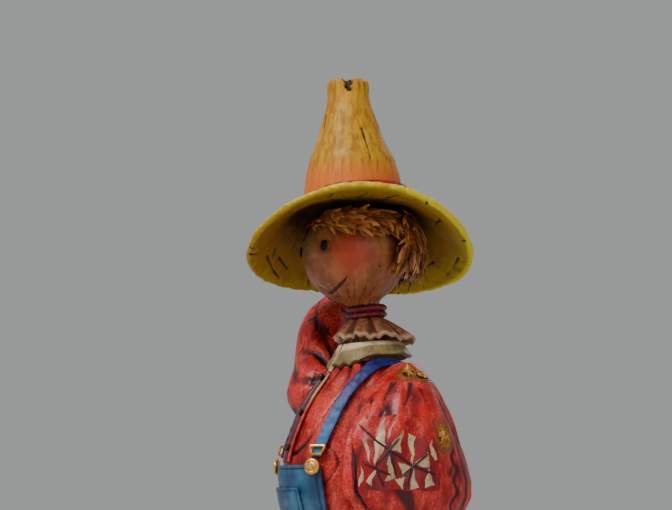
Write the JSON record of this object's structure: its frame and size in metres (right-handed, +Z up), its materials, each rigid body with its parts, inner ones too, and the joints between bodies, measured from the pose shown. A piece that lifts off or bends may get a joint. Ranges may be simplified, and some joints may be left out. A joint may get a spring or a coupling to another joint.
{
  "type": "scarecrow figurine",
  "caption": "Painted resin scarecrow in a tall straw hat, patched shirt and overalls, with a head that turns on a neck dowel.",
  "frame": {"origin": "centre of the felt underside of the base", "axes": "+Z up along the neck dowel, the figure faces -Y and its left side is +X"},
  "size_m": [0.1172, 0.0994, 0.309],
  "materials": {
    "felt": "dark green felt pad",
    "earth_paint": "cast resin painted as bare earth and straw",
    "steel": "plain steel pin",
    "sole_paint": "cast resin, near-black brown paint",
    "boot_paint": "cast resin, brown leather-look paint",
    "denim_paint": "cast resin, worn blue denim paint",
    "gold_paint": "gold leaf paint on wire and buttons",
    "strap_paint": "cast resin, navy paint, lighter blue lower end",
    "shirt_paint": "cast resin, marbled red and pink paint with fine cracks",
    "button_paint": "dark brown shirt button",
    "collar_paint": "cast resin, cream paint with an olive wash",
    "patch_paint": "red and cream diamonds with brown stitches",
    "glove_paint": "cast resin, tan glove paint",
    "bare_wood": "unpainted beech dowel",
    "face_paint": "cast resin, tan sackcloth paint with a red cheek",
    "ribbon_paint": "dark crimson ribbon paint",
    "sack_paint": "brown sackcloth paint, lighter at the hem",
    "bead_black": "glossy black bead",
    "stitch_paint": "dark brown thread paint",
    "hair_paint": "copper-brown straw with light tips",
    "straw_paint": "ochre-yellow straw paint with incised strands",
    "band_paint": "crimson hat band paint"
  },
  "bodies": {
    "figure": {"base_felt_pad": "felt", "base_plinth": "earth_paint", "leg_rod_left": "steel", "leg_rod_right": "steel", "boot_sole_left": "sole_paint", "boot_sole_right": "sole_paint", "boot_left": "boot_paint", "boot_right": "boot_paint", "trouser_leg_left": "denim_paint", "trouser_leg_right": "denim_paint", "overalls_seat": "denim_paint", "overalls_bib": "denim_paint", "bib_pocket": "denim_paint", "bib_button_left": "gold_paint", "bib_button_right": "gold_paint", "buckle_loop_left": "gold_paint", "buckle_loop_right": "gold_paint", "strap_left": "strap_paint", "strap_right": "strap_paint", "waist_pin": "steel", "shirt_torso": "shirt_paint", "shirt_placket": "shirt_paint", "shirt_button_upper": "button_paint", "shirt_button_middle": "button_paint", "shirt_button_lower": "button_paint", "collar_left": "collar_paint", "collar_right": "collar_paint", "arm_pin_left": "steel", "arm_pin_right": "steel", "sleeve_left": "shirt_paint", "sleeve_right": "shirt_paint", "sleeve_patch_left": "patch_paint", "cuff_left": "shirt_paint", "cuff_right": "shirt_paint", "wrist_straw_left": "straw_paint", "wrist_straw_right": "straw_paint", "glove_left": "glove_paint", "glove_right": "glove_paint", "neck_dowel": "bare_wood"},
    "head": {"head_sack": "face_paint", "neck_ribbon": "ribbon_paint", "neck_ruffle": "sack_paint", "eye_left": "bead_black", "eye_right": "bead_black", "mouth_stitch": "stitch_paint", "hair_front": "hair_paint", "hair_left": "hair_paint", "hair_back": "hair_paint", "hair_right": "hair_paint", "hat_brim": "straw_paint", "hat_crown": "straw_paint", "hat_band": "band_paint"}
  },
  "joints": [
    {"name": "head_turn", "type": "hinge", "parent": "figure", "child": "head", "pos_m": [0, 0, 0.2084], "axis": [0, 0, 1], "range_deg": [-20, 20]}
  ]
}
